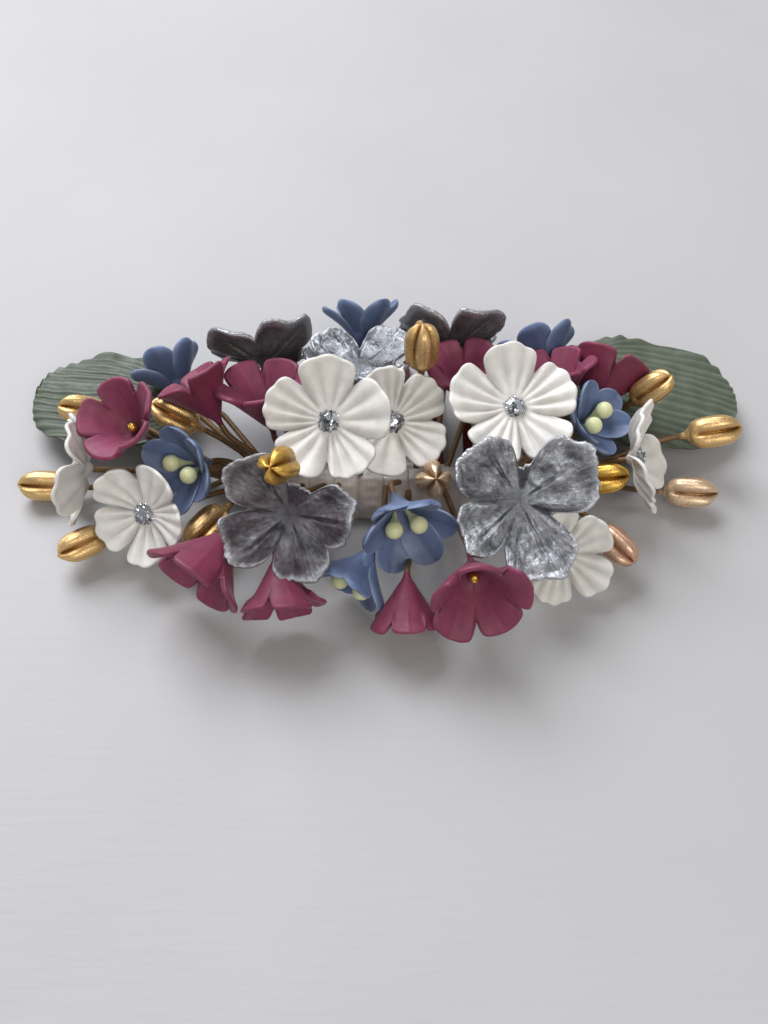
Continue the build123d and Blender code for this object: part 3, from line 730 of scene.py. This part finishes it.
# Pips dipped in pale yellow paint, smooth and slightly waxy.
pip_clay = clay("pale_yellow_pip_stamens", "#DDE0B0", "#DDE0B0", "#C5C58A", "#E9EBC6", 0.4, 0.3)
# Silver leaf rubbed on with a brush: a painted highlight on its torn rims, painted shade in its creases,
# and fine strokes that run out from the eye.
silver_leaf = metal_paint(
    "silver_leaf_brushed_on_clay", "#CBCDD0", "#505256", "#525056", 0.3, 0.33, 0.92, 0.65, 1.0)
# The same leaf worn through, so that plum-grey clay shows in the petals' middles.
worn_silver = metal_paint(
    "silver_leaf_worn_to_clay", "#ABACAF", "#3D3B3F", "#493C43", 0.85, 0.44, 0.75, 0.65, 1.0)
# Petal backs that took little leaf: nearly black and glossy, with a painted highlight that makes the rim
# silver.
dark_silver = metal_paint("silver_leaf_dark_back", "#A4A4A6", "#3C3A3B", "#3F3B3A", 0.8, 0.34, 0.75)
# Mica paints on the buds: pearly highlights on the lobes, and painted shade that browns the creases.
BRUSHED_SMOOTH = {"cover": 0.78, "streaks": 0.22, "raised": 0.35}
pearl_gold, bright_gold, champagne_gold, rose_gold = (
    metal_paint(name, bright, deep, wear_and_rim_highlight, worn_share, roughness, **BRUSHED_SMOOTH)
    for name, bright, deep, wear_and_rim_highlight, worn_share, roughness in (
        ("pearl_gold_paint_burnished", "#E6C287", "#94682F", "#CFA771", 0.4, 0.33),
        ("bright_gold_paint_burnished", "#E8BC5C", "#8A5E1E", "#CC9C44", 0.2, 0.3),
        ("champagne_paint_burnished", "#E8CDAA", "#9A724C", "#D6B494", 0.3, 0.33),
        ("rose_champagne_paint_burnished", "#E2BC9C", "#8E644C", "#CCA088", 0.4, 0.33),
    )
)
# Gilt metal, polished: one sharp highlight.
gilt = metal_paint("gilt_bead_polished", "#D9AE55", "#9A6F22", "#C89A40", 0.1, 0.24, 1.0, 0.1)
# Waxed paper tape with gold paint rubbed over it: brown, with dull gold patches.
stem_tape = metal_paint("brown_gold_stem_tape_wound", "#7E6240", "#46341F", "#5C452C", 0.5, 0.5, 0.5)


def comb_acetate():
    """Dark burgundy-brown acetate, polished: it is glossy, with faint clouds inside."""
    material, tree = new_material("burgundy_brown_acetate_polished")
    place = add(tree, "ShaderNodeTexCoord").outputs["Object"]
    cloud = add(tree, "ShaderNodeTexNoise",
                {"Vector": place, "Scale": per_mm(6), "Detail": 3.0, "Distortion": 1.5})
    share = add(tree, "ShaderNodeMapRange", {"Value": cloud.outputs["Fac"], 1: 0.35, 2: 0.68})
    colour = add(tree, "ShaderNodeMix",
                 {0: share.outputs[0], MIX_A: tint("#4A1417"), MIX_B: tint("#6E2420")}, data_type="RGBA")
    swirl = add(tree, "ShaderNodeTexNoise", {"Vector": place, "Scale": per_mm(1.2), "Detail": 2.0})
    bump = add(tree, "ShaderNodeBump",
               {"Height": swirl.outputs["Fac"], "Strength": 0.12, "Distance": 0.05 * MM})
    shader = add(tree, "ShaderNodeBsdfPrincipled", {
        "Base Color": colour.outputs[MIX_OUT], "Roughness": 0.18, "IOR": 1.48, "Normal": bump.outputs[0],
        "Coat Weight": 0.3, "Coat Roughness": 0.08,
    })
    add(tree, "ShaderNodeOutputMaterial", {"Surface": shader.outputs[0]})
    return material


def satin():
    """Pale satin ribbon: fine lengthwise threads give it a soft streaked sheen."""
    material, tree = new_material("pale_satin_ribbon_woven")
    place = add(tree, "ShaderNodeTexCoord").outputs["Object"]
    threads = add(tree, "ShaderNodeTexWave",
                  {"Vector": place, "Scale": per_mm(2.4), "Distortion": 0.6, "Detail": 2.0},
                  wave_type="BANDS", bands_direction="X")
    cloud = add(tree, "ShaderNodeTexNoise", {"Vector": place, "Scale": per_mm(4), "Detail": 3.0})
    share = add(tree, "ShaderNodeMapRange",
                {"Value": cloud.outputs["Fac"], 1: 0.35, 2: 0.7, 3: 0.0, 4: 0.8})
    colour = add(tree, "ShaderNodeMix",
                 {0: share.outputs[0], MIX_A: tint("#CFC6BC"), MIX_B: tint("#A79A90")}, data_type="RGBA")
    bump = add(tree, "ShaderNodeBump",
               {"Height": threads.outputs["Fac"], "Strength": 0.25, "Distance": 0.06 * MM})
    rough = add(tree, "ShaderNodeMapRange", {"Value": threads.outputs["Fac"], 3: 0.3, 4: 0.46})
    shader = add(tree, "ShaderNodeBsdfPrincipled", {
        "Base Color": colour.outputs[MIX_OUT], "Roughness": rough.outputs[0], "Normal": bump.outputs[0],
        "Sheen Weight": 0.4, "Sheen Roughness": 0.3, "IOR": 1.5,
    })
    add(tree, "ShaderNodeOutputMaterial", {"Surface": shader.outputs[0]})
    return material


def foiled_crystal():
    """Foil-backed glass chips: mirror-bright facets with darker ones between."""
    material, tree = new_material("foiled_glass_chips_crushed")
    place = add(tree, "ShaderNodeTexCoord").outputs["Object"]
    cells = add(tree, "ShaderNodeTexVoronoi", {"Vector": place, "Scale": per_mm(0.7)})
    share = add(tree, "ShaderNodeSeparateColor", {0: cells.outputs["Color"]})
    colour = add(tree, "ShaderNodeMix",
                 {0: share.outputs[0], MIX_A: tint("#4E5257"), MIX_B: tint("#E6E9EC")}, data_type="RGBA")
    rough = add(tree, "ShaderNodeMapRange", {"Value": share.outputs[1], 3: 0.04, 4: 0.2})
    shader = add(tree, "ShaderNodeBsdfPrincipled", {
        "Base Color": colour.outputs[MIX_OUT], "Roughness": rough.outputs[0], "Metallic": 0.9,
        "Coat Weight": 0.5, "Coat Roughness": 0.03,
    })
    add(tree, "ShaderNodeOutputMaterial", {"Surface": shader.outputs[0]})
    return material


acetate = comb_acetate()
satin_ribbon = satin()
crystal = foiled_crystal()

# ---- heads -----------------------------------------------------------------------------------------
white_heads = [Head(f"white_flower_{n}", 5) for n in range(1, 8)]
silver_heads = [Head(f"silver_flower_{n}", 4) for n in range(1, 6)]
bell_heads = [Head(f"burgundy_bell_{n}", 5) for n in range(1, 11)]
blue_heads = [Head(f"blue_flower_{n}", 6) for n in range(1, 8)]
bud_heads = [Head(f"gold_bud_{n}", 4) for n in range(1, 14)]

for number, head in enumerate(white_heads, 1):
    mesh = make_mesh(f"white_petals_{number}", [white_flower(head, number)])
    hand_over(f"white_petals_{number}", mesh, white_clay, "white_clay", head.node)

SILVER_FINISH = {1: worn_silver, 4: dark_silver, 5: dark_silver}
for number, head in enumerate(silver_heads, 1):
    torn = 0.45 if number in (4, 5) else 1.0
    skin = silver_flower(head, 20 + number, SILVER_PETALS[number], SILVER_CLEFTS[number], torn)
    mesh = make_mesh(f"silver_petals_{number}", [skin])
    finish = SILVER_FINISH.get(number, silver_leaf)
    hand_over(f"silver_petals_{number}", mesh, finish, "silver_leaf", head.node)

for number, head in enumerate(bell_heads, 1):
    mesh = make_mesh(f"bell_petals_{number}", [bell(head, 40 + number)])
    hand_over(f"bell_petals_{number}", mesh, burgundy_clay, "burgundy_clay", head.node)

for number, head in enumerate(blue_heads, 1):
    mesh = make_mesh(f"blue_petals_{number}", blue_flower(head, 60 + number))
    hand_over(f"blue_petals_{number}", mesh, blue_clay, "blue_clay", head.node)

BUD_FINISH = {6: bright_gold, 8: champagne_gold, 11: champagne_gold, 12: bright_gold, 13: rose_gold}
for number, head in enumerate(bud_heads, 1):
    mesh = make_mesh(f"bud_lobes_{number}", [gold_bud(head, 80 + number)])
    hand_over(f"bud_lobes_{number}", mesh, BUD_FINISH.get(number, pearl_gold), "gold_paint", head.node)

for number, name in enumerate(("leaf_left", "leaf_right")):
    mesh = make_mesh(f"veined_{name}", [leaf(name, 100 + number)])
    hand_over(f"veined_{name}", mesh, green_clay, "green_clay", name)

# ---- beads and stamens -----------------------------------------------------------------------------
bead_profile = [(BEAD / 2 * math.sin(a), BELL_FLOOR + BEAD / 2 - BEAD / 2 * math.cos(a))
                for a in np.linspace(0.15, math.pi - 0.34, 16)]
bead_profile += [(0.26, BELL_FLOOR + BEAD * 0.93), (0.12, BELL_FLOOR + BEAD * 0.84)]
beads = make_mesh("gilt_beads", [turned(head, bead_profile, 28) for head in bell_heads])
hand_over("gilt_beads", beads, gilt, "gilt_bead", "bell_beads")

pip_start = STAMEN_LENGTH - STAMEN
stamen_profile = [(0.4, 0.2), (0.4, 1.4), (0.55, 2.2), (0.95, 3.2)]
stamen_profile += [(STAMEN / 2 * math.sin(a) ** 0.9, pip_start + STAMEN / 2 - STAMEN / 2 * math.cos(a))
                   for a in np.linspace(0.8, math.pi - 0.1, 14)]
pips = [
    turned(head, stamen_profile, 24, (side * 0.8, 0, BLUE_FLOOR), side * STAMEN_LEAN)
    for head in blue_heads for side in (-1, 1)
]
hand_over("pip_stamens", make_mesh("pip_stamens", pips), pip_clay, "pip_stamen", "blue_stamens")

# ---- crushed glass chips, scattered over a low dome in each white flower ---------------------------
CHIP_SPACING = 0.62
CHIP_RADIUS = 0.52
DOME_HEIGHT = 1.25
DOME_SHARE = 0.68         # of the seat that the dome of chips fills


def new_tree(name, sizes):
    """An empty geometry tree with a number input for each size, and a material input."""
    tree = bpy.data.node_groups.new(name, "GeometryNodeTree")
    tree.interface.new_socket(name="Geometry", in_out="INPUT", socket_type="NodeSocketGeometry")
    for size in sizes:
        tree.interface.new_socket(name=size, in_out="INPUT", socket_type="NodeSocketFloat")
    tree.interface.new_socket(name="Finish", in_out="INPUT", socket_type="NodeSocketMaterial")
    tree.interface.new_socket(name="Geometry", in_out="OUTPUT", socket_type="NodeSocketGeometry")
    return tree, add(tree, "NodeGroupInput").outputs


def grown(name, mesh, tree, values):
    """The plain mesh that a geometry tree makes from a mesh, once its named inputs are set."""
    source = bpy.data.objects.new(name, mesh)
    bpy.context.scene.collection.objects.link(source)
    modifier = source.modifiers.new("grow", "NODES")
    modifier.node_group = tree
    for item in tree.interface.items_tree:
        if item.in_out == "INPUT" and item.name in values:
            modifier[item.identifier] = values[item.name]
    evaluated = source.evaluated_get(bpy.context.evaluated_depsgraph_get())
    result = bpy.data.meshes.new_from_object(evaluated)
    result.name = name
    bpy.data.objects.remove(source)
    return result


def chip_tree():
    """Chips of random sizes and every tilt, spread evenly over a dome."""
    tree, given = new_tree("crushed_glass", ("Spacing", "Chip Radius"))
    spread = add(tree, "GeometryNodeDistributePointsOnFaces", {
        "Mesh": given["Geometry"], "Distance Min": given["Spacing"], "Density Max": 6e6, "Seed": 7,
    }, distribute_method="POISSON")
    ball = add(tree, "GeometryNodeMeshIcoSphere", {"Radius": given["Chip Radius"], "Subdivisions": 1})
    chip = add(tree, "GeometryNodeTransform", {"Geometry": ball.outputs["Mesh"], "Scale": (1.0, 0.8, 0.55)})
    tilt = add(tree, "FunctionNodeRandomValue", {0: (0, 0, 0), 1: (TURN, TURN, TURN), "Seed": 3},
               data_type="FLOAT_VECTOR")
    size = add(tree, "FunctionNodeRandomValue", {2: 0.55, 3: 1.15, "Seed": 5}, data_type="FLOAT")
    chips = add(tree, "GeometryNodeInstanceOnPoints", {
        "Points": spread.outputs["Points"], "Instance": chip.outputs["Geometry"],
        "Rotation": tilt.outputs[0], "Scale": size.outputs[1],
    })
    real = add(tree, "GeometryNodeRealizeInstances", {"Geometry": chips.outputs[0]})
    bed = add(tree, "GeometryNodeJoinGeometry", {"Geometry": given["Geometry"]})
    tree.links.new(real.outputs[0], bed.inputs["Geometry"])
    flat = add(tree, "GeometryNodeSetShadeSmooth", {"Geometry": bed.outputs[0], "Shade Smooth": False})
    finished = add(tree, "GeometryNodeSetMaterial",
                   {"Geometry": flat.outputs[0], "Material": given["Finish"]})
    add(tree, "NodeGroupOutput", {"Geometry": finished.outputs[0]})
    return tree


dome_profile = [(CRYSTAL_RADIUS * DOME_SHARE * math.cos(a), PETAL - 0.15 + DOME_HEIGHT * math.sin(a))
                for a in np.linspace(0, 1.35, 7)]
domes = make_mesh("crystal_domes", [turned(head, dome_profile, 20) for head in white_heads])
chips = grown("crystal_chips", domes, chip_tree(), {
    "Spacing": CHIP_SPACING * MM, "Chip Radius": CHIP_RADIUS * MM, "Finish": crystal,
})
hand_over("crystal_chips", chips, None, "crystal", "crystal_centres")

# ---- satin ribbon, wound in turns round the spine and the main stem --------------------------------
RIBBON_WIDTH = 5.1
RIBBON_PITCH = 4.8
RIBBON_THICK = 0.3
PRESSED_FLAT = 0.04       # how near the table the ribbon comes where it lies on it
RIBBON_RINGS = 120        # sections along one turn


def hull(points):
    """The corners of the smallest convex outline round flat points, in order."""
    ordered = sorted(set(map(tuple, np.round(points, 3).tolist())))
    halves = []
    for run in (ordered, ordered[::-1]):
        side = []
        for point in run:
            while len(side) > 1 and ((side[-1][0] - side[-2][0]) * (point[1] - side[-2][1])
                                     <= (side[-1][1] - side[-2][1]) * (point[0] - side[-2][0])):
                side.pop()
            side.append(point)
        halves += side[:-1]
    return np.array(halves)


def ribbon_turn():
    """One turn of ribbon that hugs the wrapped section, centred on x = 0, with soft lengthwise wrinkles."""
    corners = hull(triangles("ribbon_wrap").reshape(-1, 3)[:, 1:])
    steps = np.linalg.norm(np.roll(corners, -1, axis=0) - corners, axis=1)
    marks = np.concatenate([[0], np.cumsum(steps)])
    track = np.linspace(0, marks[-1], RIBBON_RINGS, endpoint=False)
    closed = np.vstack([corners, corners[:1]])
    line = np.stack([np.interp(track, marks, closed[:, 0]), np.interp(track, marks, closed[:, 1])], axis=1)
    ahead = np.roll(line, -1, axis=0) - np.roll(line, 1, axis=0)
    outward = np.stack([ahead[:, 1], -ahead[:, 0]], axis=1) / np.linalg.norm(ahead, axis=1)[:, None]
    across = np.linspace(-1, 1, 9)
    section = [(u, 0.0) for u in across] + [(u, -1.0) for u in across[::-1]]
    rings = []
    for k, (point, away) in enumerate(zip(line, outward)):
        round_it = TURN * k / RIBBON_RINGS
        wrinkle = 0.1 * math.sin(7 * round_it) + 0.07 * math.sin(17 * round_it + 1)
        depths = [
            RIBBON_THICK * (depth - 0.2) + 0.18 * (1 - u * u) + wrinkle * (1 - abs(u)) * math.cos(2.5 * u)
            for u, depth in section
        ]
        flat = [(u * RIBBON_WIDTH / 2, *(point + away * deep)) for (u, _), deep in zip(section, depths)]
        rings.append(flat)
    rings = np.array(rings)
    rings[:, :, 2] = np.maximum(rings[:, :, 2], PRESSED_FLAT)
    around = rings.shape[1]
    mesh = bpy.data.meshes.new("ribbon_turn")
    faces = []
    for k in range(RIBBON_RINGS):
        here, after = k * around, (k + 1) % RIBBON_RINGS * around
        faces += [(here + j, here + (j + 1) % around, after + (j + 1) % around, after + j)
                  for j in range(around)]
    if signed_volume(rings.reshape(-1, 3) - rings.reshape(-1, 3).mean(axis=0), faces) < 0:
        faces = [face[::-1] for face in faces]
    mesh.from_pydata(rings.reshape(-1, 3) * MM, [], faces)
    mesh.polygons.foreach_set("use_smooth", [True] * len(mesh.polygons))
    return mesh


def winding_tree(turns):
    """Turns of ribbon in a row, each tilted a little differently, as a hand winds them."""
    tree, given = new_tree("ribbon_winding", ("Start", "Pitch"))
    start = add(tree, "ShaderNodeCombineXYZ", {"X": given["Start"]})
    pitch = add(tree, "ShaderNodeCombineXYZ", {"X": given["Pitch"]})
    row = add(tree, "GeometryNodeMeshLine", {
        "Count": turns, "Start Location": start.outputs[0], "Offset": pitch.outputs[0]})
    slant = math.radians(3.5)
    tilt = add(tree, "FunctionNodeRandomValue", {0: (0, -0.012, -slant), 1: (0, 0.012, slant), "Seed": 11},
               data_type="FLOAT_VECTOR")
    wound = add(tree, "GeometryNodeInstanceOnPoints", {
        "Points": row.outputs["Mesh"], "Instance": given["Geometry"], "Rotation": tilt.outputs[0]})
    real = add(tree, "GeometryNodeRealizeInstances", {"Geometry": wound.outputs[0]})
    finished = add(tree, "GeometryNodeSetMaterial",
                   {"Geometry": real.outputs[0], "Material": given["Finish"]})
    add(tree, "NodeGroupOutput", {"Geometry": finished.outputs[0]})
    return tree


wrap_low, wrap_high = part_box("ribbon_wrap")
wrap_length = (wrap_high.x - wrap_low.x) / MM
turns = int((wrap_length - RIBBON_WIDTH) / RIBBON_PITCH) + 1
first_turn = (wrap_low.x + wrap_high.x) / 2 / MM - (turns - 1) * RIBBON_PITCH / 2
winding = grown("satin_winding", ribbon_turn(), winding_tree(turns), {
    "Start": first_turn * MM, "Pitch": RIBBON_PITCH * MM, "Finish": satin_ribbon,
})
hand_over("satin_winding", winding, None, "satin_ribbon", "ribbon_wrap")

# ---- finishes of the CAD parts that stay -----------------------------------------------------------
KEPT_FINISH = {
    "comb": acetate,
    "main_stem": stem_tape,
}
for node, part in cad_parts.items():
    finish = stem_tape if node.endswith("_wires") else KEPT_FINISH.get(node)
    if finish is not None:
        part.data.materials.clear()
        part.data.materials.append(finish)

# ---- floor, light and camera -----------------------------------------------------------------------
FLOOR_SIZE = 9000.0
VIEW_LIFT = math.radians(52)
VIEW_DISTANCE = 215.0
SENSOR = 36.0
LENS = 40.43


def plain_floor():
    """A pale cloth-covered table, faintly ribbed."""
    material, tree = new_material("pale_table_cloth_woven")
    place = add(tree, "ShaderNodeTexCoord").outputs["Object"]
    soft = add(tree, "ShaderNodeTexNoise", {"Vector": place, "Scale": per_mm(60), "Detail": 3.0})
    stretched = add(tree, "ShaderNodeMapping", {"Vector": place, "Scale": (0.25, 2.0, 1.0)})
    rib = add(tree, "ShaderNodeTexNoise",
              {"Vector": stretched.outputs[0], "Scale": per_mm(3), "Detail": 3.0})
    colour = add(tree, "ShaderNodeMix",
                 {0: soft.outputs["Fac"], MIX_A: tint("#B3B2B1"), MIX_B: tint("#A8A6A5")}, data_type="RGBA")
    bump = add(tree, "ShaderNodeBump",
               {"Height": rib.outputs["Fac"], "Strength": 0.25, "Distance": 0.3 * MM})
    shader = add(tree, "ShaderNodeBsdfPrincipled", {
        "Base Color": colour.outputs[MIX_OUT], "Roughness": 0.6, "Normal": bump.outputs[0],
        "Sheen Weight": 0.2,
    })
    add(tree, "ShaderNodeOutputMaterial", {"Surface": shader.outputs[0]})
    return material


half_floor = FLOOR_SIZE / 2 * MM
floor_mesh = bpy.data.meshes.new("floor")
floor_mesh.from_pydata(
    [(-half_floor, -half_floor, 0), (half_floor, -half_floor, 0), (half_floor, half_floor, 0),
     (-half_floor, half_floor, 0)], [], [(0, 1, 2, 3)])
floor_mesh.materials.append(plain_floor())
floor = bpy.data.objects.new("floor", floor_mesh)
bpy.context.scene.collection.objects.link(floor)

middle = (cad_low + cad_high) / 2
aim = Vector((middle.x - 0.25 * MM, middle.y - 11.6 * MM, 7.8 * MM))


def lamp(name, place, size, watts, colour):
    """A soft square light that points at the spray."""
    data = bpy.data.lights.new(name, "AREA")
    data.size = size * MM
    data.energy = watts
    data.color = tint(colour)[:3]
    lit = bpy.data.objects.new(name, data)
    lit.location = Vector(place) * MM
    lit.rotation_euler = (aim - lit.location).to_track_quat("-Z", "Y").to_euler()
    bpy.context.scene.collection.objects.link(lit)


lamp("window", (-300, 480, 700), 620, 10.5, "#F6F8FF")
lamp("front_fill", (250, -620, 620), 420, 3.0, "#FFF8F0")

world = bpy.data.worlds.new("studio")
world.use_nodes = True
world.node_tree.nodes["Background"].inputs["Color"].default_value = tint("#DDE1E8")
world.node_tree.nodes["Background"].inputs["Strength"].default_value = 0.5
bpy.context.scene.world = world
bpy.context.scene.view_settings.view_transform = "Standard"

camera_data = bpy.data.cameras.new("camera")
camera_data.sensor_width = SENSOR
camera_data.lens = LENS
camera = bpy.data.objects.new("camera", camera_data)
direction = Vector((0, -math.cos(VIEW_LIFT), math.sin(VIEW_LIFT)))
camera.location = aim + direction * VIEW_DISTANCE * MM
camera.rotation_euler = (-direction).to_track_quat("-Z", "Y").to_euler()
bpy.context.scene.collection.objects.link(camera)
bpy.context.scene.camera = camera
